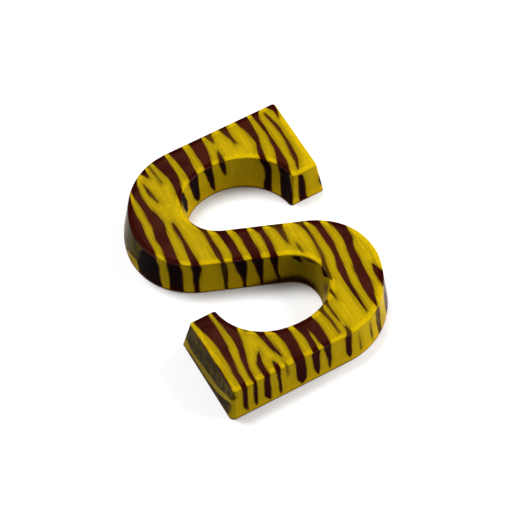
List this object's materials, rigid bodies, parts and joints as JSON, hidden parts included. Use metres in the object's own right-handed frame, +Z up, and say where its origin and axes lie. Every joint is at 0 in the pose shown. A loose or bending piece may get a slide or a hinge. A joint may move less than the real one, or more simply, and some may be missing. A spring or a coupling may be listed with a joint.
{
  "type": "chocolate letter",
  "caption": "Solid chocolate letter S, a thick flat slab with drafted walls and square-cut ends, coated yellow with brown tiger stripes.",
  "frame": {"origin": "centre of the flat base, on the table, midway along the letter's width and height", "axes": "+X to the letter's right, +Y up the letter, +Z up from the table through the slab's thickness"},
  "size_m": [0.0992, 0.1322, 0.0205],
  "materials": {
    "letter_coating": "glossy yellow cocoa-butter coating with dark brown tiger stripes"
  },
  "bodies": {
    "root": {"chocolate_letter": "letter_coating"}
  },
  "joints": []
}
